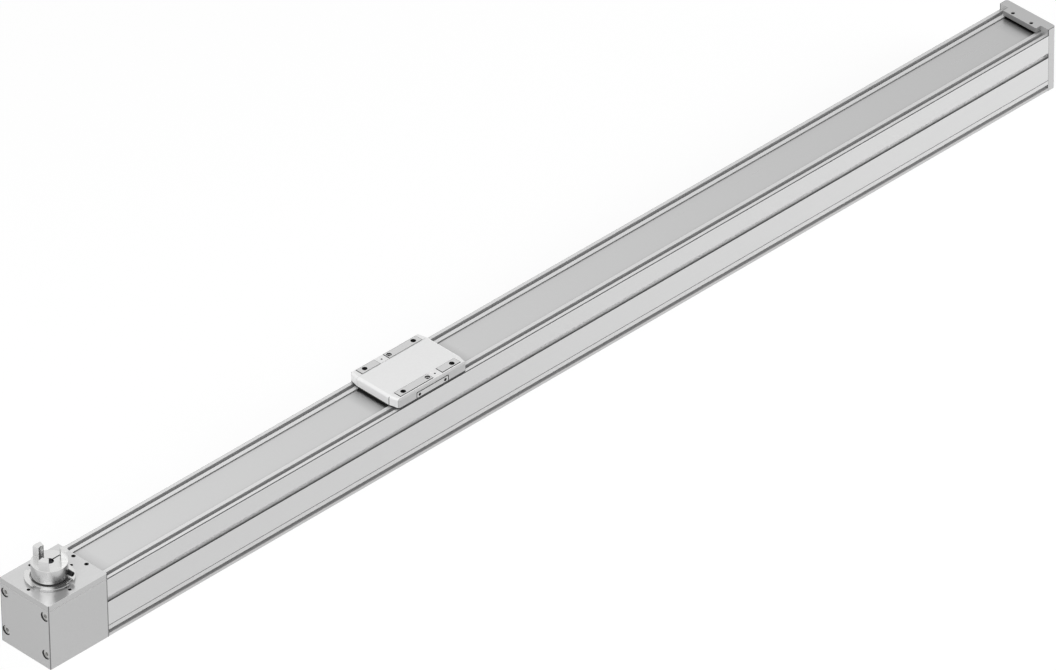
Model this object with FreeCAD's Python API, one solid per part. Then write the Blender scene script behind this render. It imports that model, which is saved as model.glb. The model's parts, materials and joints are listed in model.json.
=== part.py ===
import FreeCAD, Part
import math
import os

# Toothed belt linear axis, millimetres, +Z up, +X from the drive head to the end cap.
# The origin is under the middle of the axis, on the face that it lies on.

V = FreeCAD.Vector

# Travel
stroke = 1000.0
rest_travel = 312.5
reserve = 26.5

# Working values
over_cut = 1.0
match = 0.01
screw_gap = 0.05
running_gap = 0.05
head_hole_gap = 0.35
screw_tip_gap = 1.0
socket_share = 0.5
set_socket_share = 0.6
socket_depth_share = 0.5
turned_half_sides = 16
seen_half_sides = 6
hidden_half_sides = 3
socket_half_sides = 3

# Belt and pulleys
belt_pitch = 3.0
pulley_teeth = 26
belt_w = 10.0
belt_back = 0.85
belt_land = 0.38
tooth_h = 1.17
tooth_root_w = 1.9
tooth_tip_w = 1.3
tooth_sink = 0.2
belt_run_gap = 0.1
mesh_gap = 0.15
belt_cut_half = 1.0
strand_teeth = 2
clamp_teeth = 4
flange_disc_t = 1.0
flange_disc_rise = 2.2
belt_side_gap = 0.5
belt_clear = 2.5

# Linear guide
rail_w = 15.0
rail_h = 13.0
rail_waist = 1.2
rail_pitch = 160.0
rail_end_gap = 2.0
rail_screw_r = 2.0
rail_screw_head_r = 3.6
rail_screw_head = 4.0
rail_hole_gap = 0.2
block_w = 34.0
block_h = 24.0
block_foot = 3.5
block_len = 42.0
block_cap_len = 7.0
block_cap_step = 0.4
block_seal_t = 2.0
block_run_gap = 0.4
buffer_w = 18.0
buffer_h = 9.0
buffer_break = 2.0
stop_gap = 3.0

# Extruded profile
floor_t = 8.0
edge_break = 0.4
outer_land = 3.7
groove_w = 3.9
groove_d = 3.6
inner_land = 3.75
side_groove_z = 3.3
mark_line_z = 11.5
mark_line_w = 0.8
mark_line_d = 0.5
sensor_slot_z = 35.7
sensor_slot_w = 3.9
sensor_slot_d = 4.5
sensor_slot_lip = 1.4

# Cover strip
strip_lap = 2.95
strip_t = 0.4
strip_recess = 1.2
strip_side_gap = 0.2
strip_lift = 6.8
strip_gap = 0.25
lift_flat = 16.0
lift_setback = 0.5

# Screws that hold the head and the end cap on the profile
end_screw_inset = 5.5
end_screw_rise = 13.3
end_screw_drop = 7.2
end_screw_r = 2.5
end_screw_head_r = 4.25
end_screw_head = 5.0
end_screw_sink = 1.2
end_screw_bite = 15.0

# Drive head
flange_t = 6.0
motor_hole_circle_r = 24.5
motor_hole_r = 1.5
motor_hole_edge = 5.0
motor_hole_count = 4
head_tail = 13.0
collar_to_hole = 2.75
collar_bore_gap = 1.0
collar_h = 2.7
collar_notch_w = 7.0
collar_notch_wall = 1.95
collar_notch_turn = 15.0
seam_break = 0.3

# Drive shaft and its bearings
shaft_r = 4.0
shaft_gap = 0.3
shaft_relief = 1.5
bearing_r = 11.0
bearing_w = 7.0
bearing_low_z = 14.0
shoulder_gap = 0.2
pulley_hub_r = 8.0
bearing_rise = 3.35
spigot_drop = 9.5

# Coupling hub
hub_r = 16.0
hub_gap = 0.6
hub_h = 13.7
hub_slit = 1.2
hub_shaft_short = 3.0
jaw_in_r = 10.5
jaw_half_angle = 16.5
jaw_h = 10.0
jaw_first_angle = 90.0
jaw_count = 3
hub_screw_inset = 6.0
hub_screw_rise = 3.6
hub_screw_r = 1.5
hub_screw_head_r = 2.25
hub_screw_inside = 0.3
hub_screw_spot = 1.19
hub_screw_short = 1.79

# End cap and idler
cap_t = 9.0
cap_corner_r = 2.5
nose_len = 6.0
nose_w = 40.0
nose_lift = 0.6
nose_break = 0.3
idler_setback = 18.0
idler_axle_r = 3.0
idler_block_gap = 0.3
idler_arm_gap = 0.6
idler_nose = 8.0
tension_screw_y = 9.0
tension_screw_z = 22.0
tension_screw_r = 2.0
tension_screw_head_r = 3.5
tension_screw_head = 4.0
tension_screw_bite = 12.0

# Strip clamps
clamp_bar_len = 9.0
drive_clamp_from_joint = 3.0
drive_clamp_y = 8.1
end_clamp_from_cap = 3.0
end_clamp_y = 11.2
set_screw_r = 1.95
set_screw_sink = 1.0

# Belt clamp on the slide's neck
press_t = 1.0
neck_step = 0.5
neck_len = 44.0
web_gap = 0.25
clamp_plate_t = 4.0
clamp_plate_len = 42.0
clamp_run_gap = 2.0
clamp_top_gap = 0.5
clamp_rim = 0.4
clamp_web = 0.5
clamp_side_gap = 0.3
clamp_screw_x = 17.5
clamp_screw_r = 1.25
clamp_screw_head_r = 2.25
clamp_screw_head = 2.2
clamp_screw_bite = 7.0
magnet_r = 3.0
magnet_len = 4.0
magnet_holder_len = 20.0
magnet_holder_t = 4.8
magnet_holder_h = 9.8

# Slide
slide_gap = 1.0
slide_h = 10.1
slide_taper = 2.5
slide_edge = 4.5
slide_break = 1.6
slide_corner_r = 2.5
neck_gap = 1.0
pad_rise = 0.4
pad_w = 7.6
pad_margin = 6.5
pad_long_x = 3.0
pad_short_x = 14.4
bolt_x = 58.0
bolt_inset = 4.05
bolt_r = 2.5
sleeve_r = 2.5
sleeve_d = 1.6
sleeve_core_r = 1.6
lube_x = 8.7
lube_plug = 7.0
lube_plug_t = 1.5
lube_hole_r = 1.0
cover_side = 1.05
cover_gap = 0.2
cover_round = 2.8
lifter_t = 1.0
lifter_len = 48.0
wiper_t = 1.6
wiper_setback = 0.6
wiper_h = 3.5
wiper_gap = 0.15
wiper_side_gap = 0.25
slide_screw_x = 12.0
slide_screw_y = 5.5
slide_screw_r = 2.0
slide_screw_head_r = 3.5
slide_screw_head = 4.0
slide_screw_seat = 8.0
slide_screw_blind = 4.0
side_plate_len = 37.4
side_plate_h = 6.5
side_plate_t = 2.0
side_plate_gap = 0.3
side_plate_break = 1.2
side_screw_inset = 3.5
side_screw_z = 3.4
side_screw_r = 1.0
side_screw_head_r = 1.5
side_screw_head = 1.2
side_screw_sink = 0.2
side_screw_len = 5.0

# Belt, pulleys and what the belt sets across the axis
pulley_pitch_r = pulley_teeth * belt_pitch / (2 * math.pi)
pulley_r = pulley_pitch_r - belt_land - belt_run_gap
flange_disc_r = pulley_pitch_r + flange_disc_rise
belt_in_y = pulley_pitch_r - belt_land
belt_out_y = pulley_pitch_r + belt_back
web_half = belt_in_y - tooth_h - web_gap
neck_half = math.ceil((belt_out_y + press_t) / neck_step) * neck_step
cavity_half = neck_half + clamp_plate_t + clamp_run_gap
opening_half = neck_half + neck_gap
strip_w = 2 * (opening_half + strip_lap)
ledge_half = strip_w / 2 + strip_side_gap
half_w = ledge_half + inner_land + groove_w + outer_land
end_screw_y = half_w - end_screw_inset
cover_half = strip_w / 2 + cover_side
pad_in_y = cover_half + cover_gap
pad_out_y = pad_in_y + pad_w
bolt_y = pad_in_y + bolt_inset

# Heights, from the profile's floor upwards
rail_top = floor_t + rail_h
neck_z = floor_t + block_h
clamp_edge = screw_gap + clamp_rim + clamp_screw_head_r
window_foot = clamp_edge + clamp_screw_r + clamp_web
pulley_low = neck_z + window_foot
belt_low = pulley_low + flange_disc_t + belt_side_gap
belt_high = belt_low + belt_w
pulley_high = belt_high + belt_side_gap + flange_disc_t
clamp_low = neck_z + screw_gap
clamp_high = pulley_high + window_foot
cavity_top = clamp_high + clamp_top_gap
bearing_high_z = pulley_high + bearing_rise
profile_h = bearing_high_z + bearing_w + shoulder_gap
end_screw_high = profile_h - end_screw_drop
strip_z = profile_h - strip_recess
plate_top = profile_h + flange_t
collar_top = plate_top + collar_h
hub_z = collar_top + hub_gap
hub_top = hub_z + hub_h
slide_z = profile_h + slide_gap
slide_top = slide_z + slide_h
pad_top = slide_top + pad_rise
chamber_r = flange_disc_r + belt_clear
collar_r = motor_hole_circle_r - collar_to_hole
collar_bore_r = hub_r + collar_bore_gap
collar_notch_d = collar_r - collar_bore_r - collar_notch_wall
hub_screw_x = hub_r - hub_screw_inset
hub_screw_edge = math.sqrt(hub_r ** 2 - hub_screw_x ** 2)
hub_screw_seat = hub_screw_edge - hub_screw_spot
hub_screw_len = hub_screw_seat + hub_screw_edge - hub_screw_short
hub_screw_end = math.sqrt((collar_r - hub_screw_inside) ** 2 - (hub_screw_x + hub_screw_head_r) ** 2)
hub_screw_head = hub_screw_end - hub_screw_seat

# Places along the axis
pad_end_x = bolt_x / 2 + pad_margin
slide_side_half = pad_end_x + slide_edge
slide_half = slide_side_half + slide_taper
lift_reach = slide_half - lift_setback
lift_run = lift_reach - lift_flat / 2
lift_r = (lift_run ** 2 + strip_lift ** 2) / (4 * strip_lift)
lift_angle = math.asin(lift_run / (2 * lift_r))
block_half = block_len / 2 + block_cap_len + block_seal_t
drive_from_end = motor_hole_circle_r + motor_hole_edge
head_len = drive_from_end + motor_hole_circle_r + head_tail
profile_len = stroke + 2 * reserve + 2 * slide_half + nose_len
total_len = head_len + profile_len + cap_t
x_end = -total_len / 2
x_joint = x_end + head_len
x_cap = x_joint + profile_len
x_far = x_cap + cap_t
x_nose = x_cap - nose_len
x_first = x_joint + reserve + slide_half
x_rest = x_first + rest_travel
x_last = x_first + stroke
x_drive = x_end + drive_from_end
x_idler = x_drive + math.floor((x_cap - idler_setback - x_drive) / belt_pitch) * belt_pitch
x_idler_face = x_idler - idler_nose


def box(x0, x1, y0, y1, z0, z1):
    return Part.makeBox(x1 - x0, y1 - y0, z1 - z0, V(x0, y0, z0))


def disc(radius, z0, z1, x=0.0, y=0.0):
    return Part.makeCylinder(radius, z1 - z0, V(x, y, z0))


def outline(points):
    return Part.Face(Part.makePolygon(points + [points[0]]))


def section_yz(points, x=0.0):
    return outline([V(x, y, z) for y, z in points])


def section_xy(points, z=0.0):
    return outline([V(x, y, z) for x, y in points])


def joined(shapes):
    return shapes[0].multiFuse(shapes[1:]).removeSplitter()


def group(shapes):
    return Part.makeCompound(shapes)


def turned(shape, angle):
    copy = shape.copy()
    copy.rotate(V(0, 0, 0), V(0, 0, 1), angle)
    return copy


def pointed(shape, direction, place):
    """Turns a shape made along +Z so that +Z becomes direction, then moves it to place."""
    copy = shape.copy()
    copy.Placement = FreeCAD.Placement(place, FreeCAD.Rotation(V(0, 0, 1), direction))
    return copy


def prism(radius, z0, z1, half_sides, x=0.0, y=0.0):
    """Upright rod with an even number of flats; its corners stand at the radius."""
    corners = [math.pi * step / half_sides for step in range(2 * half_sides)]
    face = section_xy([(x + radius * math.cos(a), y + radius * math.sin(a)) for a in corners], z0)
    return face.extrude(V(0, 0, z1 - z0))


def prism_x(radius, x0, x1, y, z, half_sides):
    return pointed(prism(radius, 0, x1 - x0, half_sides), V(1, 0, 0), V(x0, y, z))


def prism_y(radius, y0, y1, x, z, half_sides):
    return pointed(prism(radius, 0, y1 - y0, half_sides), V(0, 1, 0), V(x, y0, z))


def fillet_where(shape, radius, wanted):
    return shape.makeFillet(radius, [edge for edge in shape.Edges if wanted(edge)])


def chamfer_where(shape, size, wanted):
    return shape.makeChamfer(size, [edge for edge in shape.Edges if wanted(edge)])


def upright(edge, x, y):
    """True for a vertical edge that stands at |x|, |y|."""
    middle = edge.CenterOfMass
    return abs(abs(middle.x) - x) < match and abs(abs(middle.y) - y) < match and not level(edge, middle.z)


def level(edge, z):
    """True for an edge that lies at the height z."""
    return abs(edge.BoundBox.ZMin - z) < match and abs(edge.BoundBox.ZMax - z) < match


def along_x(edge):
    return edge.BoundBox.XLength > match


def along_y(edge):
    return edge.BoundBox.YLength > match


def plain_screw(shank_r, shank_len, head_r, head_h, head_half_sides):
    """Screw along -Z, with the underside of its head at the origin."""
    head = prism(head_r, 0, head_h, head_half_sides)
    return joined([head, prism(shank_r, -shank_len, 0, hidden_half_sides)])


def cap_screw(shank_r, shank_len, head_r, head_h):
    """Screw with a socket in its head, for the places where the head is seen."""
    floor = head_h * (1 - socket_depth_share)
    socket = prism(head_r * socket_share, floor, head_h, socket_half_sides)
    return plain_screw(shank_r, shank_len, head_r, head_h, seen_half_sides).cut(socket)


def set_screw(radius, length):
    """Headless screw along -Z, with its socket at the origin."""
    socket = prism(radius * set_socket_share, -length * socket_depth_share, 0, socket_half_sides)
    return prism(radius, -length, 0, seen_half_sides).cut(socket)


def strip_line(offset, reach):
    """The strip's line over the slide from -reach to +reach, offset above its underside."""
    sin_full = math.sin(lift_angle)
    cos_full = math.cos(lift_angle)
    sin_half = math.sin(lift_angle / 2)
    cos_half = math.cos(lift_angle / 2)
    flat = strip_z + offset
    lifted = flat + strip_lift
    low_r = lift_r - offset
    low_z = strip_z + lift_r
    high_r = lift_r + offset
    high_z = strip_z + strip_lift - lift_r

    def at(x, z):
        return V(x_rest + x, 0, z)

    def ramp(side):
        foot = at(side * lift_reach, flat)
        low_mid = at(side * (lift_reach - low_r * sin_half), low_z - low_r * cos_half)
        turn = at(side * (lift_reach - low_r * sin_full), low_z - low_r * cos_full)
        high_mid = at(side * (lift_flat / 2 + high_r * sin_half), high_z + high_r * cos_half)
        head = at(side * lift_flat / 2, lifted)
        return [Part.Arc(foot, low_mid, turn).toShape(), Part.Arc(turn, high_mid, head).toShape()]

    edges = ramp(-1) + ramp(1)
    edges.append(Part.makeLine(at(-lift_flat / 2, lifted), at(lift_flat / 2, lifted)))
    if reach > lift_reach:
        edges.append(Part.makeLine(at(-reach, flat), at(-lift_reach, flat)))
        edges.append(Part.makeLine(at(lift_reach, flat), at(reach, flat)))
    return edges


def wide_solid(edges, width):
    """Closed line of edges in the XZ plane, drawn out across the axis."""
    face = Part.Face(Part.Wire(Part.__sortEdges__(edges)))
    return face.translated(V(0, -width / 2, 0)).extrude(V(0, width, 0))


def above_strip(offset, top, width):
    """All that lies over the strip's line along the slide, up to a flat top."""
    reach = slide_half + over_cut
    low = strip_z + offset
    corners = [V(x_rest - reach, 0, low), V(x_rest - reach, 0, top)]
    corners += [V(x_rest + reach, 0, top), V(x_rest + reach, 0, low)]
    sides = [Part.makeLine(a, b) for a, b in zip(corners, corners[1:])]
    return wide_solid(strip_line(offset, reach) + sides, width)


def four_places():
    """Where the head's and the end cap's screws enter the profile, as (y, z)."""
    return [(side * end_screw_y, z) for side in (-1, 1) for z in (end_screw_rise, end_screw_high)]


def profile_section():
    """Section of the extrusion: open at the top, with slots on the top and the sides."""
    top = profile_h
    body = section_yz([(-half_w, 0), (half_w, 0), (half_w, top), (-half_w, top)])
    cuts = []
    for half, low, high in ((cavity_half, floor_t, cavity_top), (opening_half, cavity_top, top),
                            (ledge_half, strip_z, top)):
        cuts.append(section_yz([(-half, low), (half, low), (half, high), (-half, high)]))
    groove_out = half_w - outer_land
    groove_in = groove_out - groove_w
    groove_floor = top - groove_d
    top_groove = [(groove_in, top), (groove_out, top), (groove_out, groove_floor), (groove_in, groove_floor)]
    groove_top = side_groove_z + groove_w
    groove_back = half_w - groove_d
    side_groove = [(half_w, side_groove_z), (groove_back, side_groove_z), (groove_back, groove_top),
                   (half_w, groove_top)]
    slot_top = sensor_slot_z + sensor_slot_w
    slot_back = half_w - sensor_slot_d
    sensor_slot = [(half_w, sensor_slot_z), (slot_back, sensor_slot_z), (slot_back, slot_top),
                   (half_w - sensor_slot_lip, slot_top), (half_w, slot_top + sensor_slot_lip)]
    mark_line = [(half_w, mark_line_z - mark_line_w / 2), (half_w - mark_line_d, mark_line_z),
                 (half_w, mark_line_z + mark_line_w / 2)]
    top_edge = [(half_w, top), (half_w - edge_break, top), (half_w, top - edge_break)]
    low_edge = [(half_w, 0), (half_w - edge_break, 0), (half_w, edge_break)]
    for points in (top_groove, side_groove, sensor_slot, mark_line, top_edge, low_edge):
        for side in (-1, 1):
            cuts.append(section_yz([(side * y, z) for y, z in points]))
    return body.cut(cuts).Faces[0]


def axis_profile():
    """Extrusion with the channels that its end screws bite into."""
    body = profile_section().translated(V(x_joint, 0, 0)).extrude(V(profile_len, 0, 0))
    channel_r = end_screw_r + screw_gap
    return body.cut([prism_x(channel_r, x_joint, x_cap, y, z, hidden_half_sides) for y, z in four_places()])


def rail_span():
    return x_joint + rail_end_gap, x_idler_face - rail_end_gap


def rail_hole_places():
    start, finish = rail_span()
    count = math.floor((finish - start) / rail_pitch)
    first = (start + finish - (count - 1) * rail_pitch) / 2
    return [first + step * rail_pitch for step in range(count)]


def rail_seat():
    return rail_top - rail_screw_head - rail_hole_gap


def guide_rail():
    """Rail with a raceway along each flank and counterbored holes."""
    half = rail_w / 2
    waist = half - rail_waist
    knee = rail_h / 3
    flank = [(half, 0), (half, knee), (waist, knee + rail_waist), (waist, 2 * knee - rail_waist),
             (half, 2 * knee), (half, rail_h)]
    points = flank + [(-y, z) for y, z in reversed(flank)]
    start, finish = rail_span()
    rail = section_yz([(y, floor_t + z) for y, z in points], start).extrude(V(finish - start, 0, 0))
    cuts = []
    for x in rail_hole_places():
        cuts.append(prism(rail_screw_r + screw_gap, floor_t, rail_top, hidden_half_sides, x))
        cuts.append(prism(rail_screw_head_r + rail_hole_gap, rail_seat(), rail_top, hidden_half_sides, x))
    return rail.cut(cuts)


def rail_screws():
    shank = rail_seat() - floor_t
    screw = plain_screw(rail_screw_r, shank, rail_screw_head_r, rail_screw_head, hidden_half_sides)
    return group([screw.translated(V(x, 0, rail_seat())) for x in rail_hole_places()])


def cover_strip():
    """Steel strip, clamped in the head and the end cap, lifted over the slide."""
    start = x_joint - clamp_bar_len
    finish = x_cap + cap_t / 2
    edges = strip_line(0, lift_reach) + strip_line(strip_t, lift_reach)
    for z in (strip_z, strip_z + strip_t):
        edges.append(Part.makeLine(V(start, 0, z), V(x_rest - lift_reach, 0, z)))
        edges.append(Part.makeLine(V(x_rest + lift_reach, 0, z), V(finish, 0, z)))
    for x in (start, finish):
        edges.append(Part.makeLine(V(x, 0, strip_z), V(x, 0, strip_z + strip_t)))
    return wide_solid(edges, strip_w)


def end_screw_seat():
    return end_screw_head + end_screw_sink


def end_screw_cuts(x0, x1, outward):
    """Clearance holes along X, counterbored in the face that looks along outward."""
    seat = (x0, x0 + end_screw_seat()) if outward < 0 else (x1 - end_screw_seat(), x1)
    head_hole_r = end_screw_head_r + head_hole_gap
    cuts = []
    for y, z in four_places():
        cuts.append(prism_x(end_screw_r + head_hole_gap, x0, x1, y, z, hidden_half_sides))
        cuts.append(prism_x(head_hole_r, seat[0], seat[1], y, z, seen_half_sides))
    return cuts


def end_screws(face_x, outward, part_t):
    """Screws through a part of thickness part_t into the profile's screw channels."""
    shank = part_t - end_screw_seat() + end_screw_bite
    screw = cap_screw(end_screw_r, shank, end_screw_head_r, end_screw_head)
    x = face_x - outward * end_screw_seat()
    return group([pointed(screw, V(outward, 0, 0), V(x, y, z)) for y, z in four_places()])


def drive_housing():
    """Head body: pulley chamber, lower bearing seat, belt way and strip pocket."""
    body = box(x_end, x_joint, -half_w, half_w, 0, profile_h)
    body = chamfer_where(body, seam_break, lambda edge: level(edge, profile_h))
    seat_top = bearing_low_z + bearing_w + shoulder_gap
    way_half = belt_out_y + belt_clear
    pocket_x = x_joint - clamp_bar_len - head_hole_gap
    cuts = [prism(chamber_r, seat_top, profile_h, turned_half_sides, x_drive),
            prism(bearing_r, bearing_low_z, seat_top, turned_half_sides, x_drive),
            box(x_drive, x_joint, -way_half, way_half, pulley_low - belt_clear, pulley_high + belt_clear),
            box(pocket_x, x_joint, -ledge_half, ledge_half, strip_z, profile_h)]
    return body.cut(cuts + end_screw_cuts(x_end, x_joint, -1))


def flange_plate():
    """Top plate of the head: its spigot carries the upper bearing, its face takes the motor."""
    plate = box(x_end, x_joint, -half_w, half_w, profile_h, plate_top)
    plate = chamfer_where(plate, seam_break, lambda edge: level(edge, profile_h))
    spigot_low = profile_h - spigot_drop
    spigot = prism(chamber_r - running_gap, spigot_low, profile_h, turned_half_sides, x_drive)
    seat_top = bearing_high_z + bearing_w
    cuts = [prism(bearing_r, spigot_low, seat_top, turned_half_sides, x_drive),
            prism(shaft_r + shaft_relief, seat_top, plate_top, seen_half_sides, x_drive)]
    hole = disc(motor_hole_r, profile_h, plate_top, motor_hole_circle_r)
    for step in range(motor_hole_count):
        cuts.append(turned(hole, 360 * step / motor_hole_count).translated(V(x_drive, 0, 0)))
    x = x_joint - drive_clamp_from_joint
    for y in (-drive_clamp_y, drive_clamp_y):
        cuts.append(prism(set_screw_r, profile_h, plate_top, seen_half_sides, x, y))
    return joined([plate, spigot]).cut(cuts)


def centring_collar():
    """Ring that centres a motor kit, with a notch beside each motor screw hole."""
    rim = disc(collar_r, plate_top, collar_top)
    bore = prism(collar_bore_r, plate_top, collar_top, turned_half_sides)
    half = collar_notch_w / 2
    notch = box(collar_r - collar_notch_d, collar_r + over_cut, -half, half, plate_top, collar_top)
    cuts = [bore]
    for step in range(motor_hole_count):
        cuts.append(turned(notch, collar_notch_turn + 360 * step / motor_hole_count))
    return rim.cut(cuts).translated(V(x_drive, 0, 0))


def shaft_bearing(z0):
    body = prism(bearing_r, z0, z0 + bearing_w, turned_half_sides, x_drive)
    return body.cut(disc(shaft_r + running_gap, z0, z0 + bearing_w, x_drive))


def drive_shaft():
    return disc(shaft_r, bearing_low_z + shaft_gap, hub_top - hub_shaft_short, x_drive)


def tooth_section(root, tip, height, sink):
    """Tooth towards -X from the belt's land at x = 0, and sink into the belt beyond it."""
    flank = [(sink, root / 2), (0, root / 2), (-height, tip / 2)]
    return section_xy(flank + [(x, -y) for x, y in reversed(flank)])


def toothed_pulley(bore_r):
    """Flanged pulley with one groove for each belt tooth."""
    root = tooth_root_w / 2 + mesh_gap
    tip = tooth_tip_w / 2 + mesh_gap
    land = math.sqrt(pulley_r ** 2 - root ** 2)
    floor = pulley_r - tooth_h - mesh_gap
    points = []
    for step in range(pulley_teeth):
        angle = math.radians(90 + 360 * step / pulley_teeth)
        for out, across in ((land, -root), (floor, -tip), (floor, tip), (land, root)):
            points.append((out * math.cos(angle) - across * math.sin(angle),
                           out * math.sin(angle) + across * math.cos(angle)))
    wheel = section_xy(points, pulley_low).extrude(V(0, 0, pulley_high - pulley_low))
    half_sides = pulley_teeth // 2
    lower = prism(flange_disc_r, pulley_low, pulley_low + flange_disc_t, half_sides)
    upper = prism(flange_disc_r, pulley_high - flange_disc_t, pulley_high, half_sides)
    return joined([wheel, lower, upper]).cut(disc(bore_r, pulley_low, pulley_high))


def drive_pulley():
    """Pulley with a hub that reaches from the lower to the upper bearing."""
    low = bearing_low_z + bearing_w + shaft_gap
    high = bearing_high_z - shaft_gap
    hub = prism(pulley_hub_r, low, high, seen_half_sides).cut(disc(shaft_r, low, high))
    return joined([toothed_pulley(shaft_r), hub]).translated(V(x_drive, 0, 0))


def coupling_hub():
    """Slit clamping hub with coupling jaws on its top."""
    body = prism(hub_r, hub_z, hub_top, turned_half_sides)
    slope = math.tan(math.radians(jaw_half_angle))
    reach = hub_r + over_cut
    wedge = section_xy([(0, 0), (reach, -reach * slope), (reach, reach * slope)], hub_top)
    wedges = [turned(wedge, jaw_first_angle + 360 * step / jaw_count) for step in range(jaw_count)]
    rim = prism(hub_r, hub_top, hub_top + jaw_h, turned_half_sides)
    rim = rim.cut(prism(jaw_in_r, hub_top, hub_top + jaw_h, seen_half_sides))
    jaws = [face.extrude(V(0, 0, jaw_h)).common(rim) for face in wedges]
    screw_z = hub_z + hub_screw_rise
    head_hole_r = hub_screw_head_r + head_hole_gap
    cuts = [disc(shaft_r, hub_z, hub_top),
            box(0, hub_r, -hub_slit / 2, hub_slit / 2, hub_z, hub_top),
            prism_y(hub_screw_r + screw_gap, -hub_r, hub_r, hub_screw_x, screw_z, hidden_half_sides),
            prism_y(head_hole_r, -hub_r, -hub_screw_seat, hub_screw_x, screw_z, seen_half_sides)]
    return joined([body] + jaws).cut(cuts).translated(V(x_drive, 0, 0))


def hub_clamp_screw():
    screw = cap_screw(hub_screw_r, hub_screw_len, hub_screw_head_r, hub_screw_head)
    place = V(x_drive + hub_screw_x, -hub_screw_seat, hub_z + hub_screw_rise)
    return pointed(screw, V(0, -1, 0), place)


def belt_loop(radius):
    drive_end = disc(radius, belt_low, belt_high, x_drive)
    idler_end = disc(radius, belt_low, belt_high, x_idler)
    return joined([drive_end, idler_end, box(x_drive, x_idler, -radius, radius, belt_low, belt_high)])


def toothed_belt():
    """Belt round both pulleys, cut at the slide, with teeth where it meshes or is clamped."""
    tooth = tooth_section(tooth_root_w, tooth_tip_w, tooth_h, tooth_sink)
    tooth = tooth.translated(V(belt_in_y, 0, belt_low)).extrude(V(0, 0, belt_w))
    far = turned(tooth, 90)
    near = turned(tooth, -90)
    teeth = []
    for step in range(pulley_teeth // 2 + 1):
        angle = 360 * step / pulley_teeth
        teeth.append(turned(tooth, 90 + angle).translated(V(x_drive, 0, 0)))
        teeth.append(turned(tooth, angle - 90).translated(V(x_idler, 0, 0)))
    for step in range(1, strand_teeth + 1):
        for x in (x_drive + step * belt_pitch, x_idler - step * belt_pitch):
            teeth += [far.translated(V(x, 0, 0)), near.translated(V(x, 0, 0))]
    x_cut = x_drive + round((x_rest - x_drive) / belt_pitch) * belt_pitch
    for step in range(1, clamp_teeth + 1):
        teeth.append(near.translated(V(x_cut - step * belt_pitch, 0, 0)))
        teeth.append(near.translated(V(x_cut + step * belt_pitch, 0, 0)))
    belt = belt_loop(belt_out_y).cut(belt_loop(belt_in_y))
    gap = box(x_cut - belt_cut_half, x_cut + belt_cut_half, -belt_out_y - over_cut, 0, belt_low, belt_high)
    return joined([belt] + teeth).cut(gap)


def strip_clamp_drive():
    """Bar that the head's set screws press on the strip."""
    low = strip_z + strip_t
    return box(x_joint - clamp_bar_len, x_joint, -strip_w / 2, strip_w / 2, low, profile_h - screw_gap)


def strip_screws_drive():
    screw = set_screw(set_screw_r, flange_t - set_screw_sink)
    x = x_joint - drive_clamp_from_joint
    z = plate_top - set_screw_sink
    return group([screw.translated(V(x, side * drive_clamp_y, z)) for side in (-1, 1)])


def tension_seat():
    return tension_screw_head + head_hole_gap


def end_cap():
    """End plate with a nose over the strip, which holds the strip's clamp."""
    plate = box(x_cap, x_far, -half_w, half_w, 0, plate_top)
    plate = fillet_where(plate, cap_corner_r, lambda edge: upright(edge, x_far, half_w))
    nose = box(x_nose, x_cap, -nose_w / 2, nose_w / 2, profile_h + nose_lift, plate_top)
    nose = chamfer_where(nose, nose_break, lambda edge: level(edge, plate_top) and not touches(edge, x_cap))
    body = joined([plate, nose])
    pocket_x = x_cap + cap_t / 2
    cuts = [box(x_cap, pocket_x, -ledge_half, ledge_half, strip_z, profile_h + nose_lift)]
    x = x_cap - end_clamp_from_cap
    for y in (-end_clamp_y, end_clamp_y):
        cuts.append(prism(set_screw_r, profile_h + nose_lift, plate_top, seen_half_sides, x, y))
    shank_hole_r = tension_screw_r + head_hole_gap
    head_hole_r = tension_screw_head_r + head_hole_gap
    seat_x = x_far - tension_seat()
    for y in (-tension_screw_y, tension_screw_y):
        cuts.append(prism_x(shank_hole_r, x_cap, x_far, y, tension_screw_z, hidden_half_sides))
        cuts.append(prism_x(head_hole_r, seat_x, x_far, y, tension_screw_z, seen_half_sides))
    return body.cut(cuts + end_screw_cuts(x_cap, x_far, 1))


def touches(edge, x):
    return abs(edge.BoundBox.XMax - x) < match


def strip_clamp_end():
    """Bar that the nose's set screws press on the strip."""
    start = x_cap + cap_t / 2 - clamp_bar_len
    finish = x_cap + cap_t / 2
    return box(start, finish, -strip_w / 2, strip_w / 2, strip_z + strip_t, profile_h + nose_lift)


def strip_screws_end():
    screw = set_screw(set_screw_r, flange_t - nose_lift - set_screw_sink)
    x = x_cap - end_clamp_from_cap
    z = plate_top - set_screw_sink
    return group([screw.translated(V(x, side * end_clamp_y, z)) for side in (-1, 1)])


def idler_block():
    """Yoke that slides in the profile's end and carries the idler axle."""
    half = cavity_half - idler_block_gap
    low = floor_t + idler_block_gap
    high = cavity_top - idler_block_gap
    finish = x_cap - idler_block_gap
    body = box(x_idler_face, finish, -half, half, low, high)
    slot_half = chamber_r
    slot_back = x_idler + chamber_r
    slot_low = pulley_low - idler_arm_gap
    slot_high = pulley_high + idler_arm_gap
    cuts = [box(x_idler_face, slot_back, -slot_half, slot_half, slot_low, slot_high),
            disc(idler_axle_r, low, high, x_idler)]
    hole_x = finish - tension_screw_bite - screw_tip_gap
    hole_r = tension_screw_r + screw_gap
    for y in (-tension_screw_y, tension_screw_y):
        cuts.append(prism_x(hole_r, hole_x, finish, y, tension_screw_z, hidden_half_sides))
    return body.cut(cuts)


def idler_axle():
    return disc(idler_axle_r, floor_t + idler_block_gap, cavity_top - idler_block_gap, x_idler)


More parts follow.
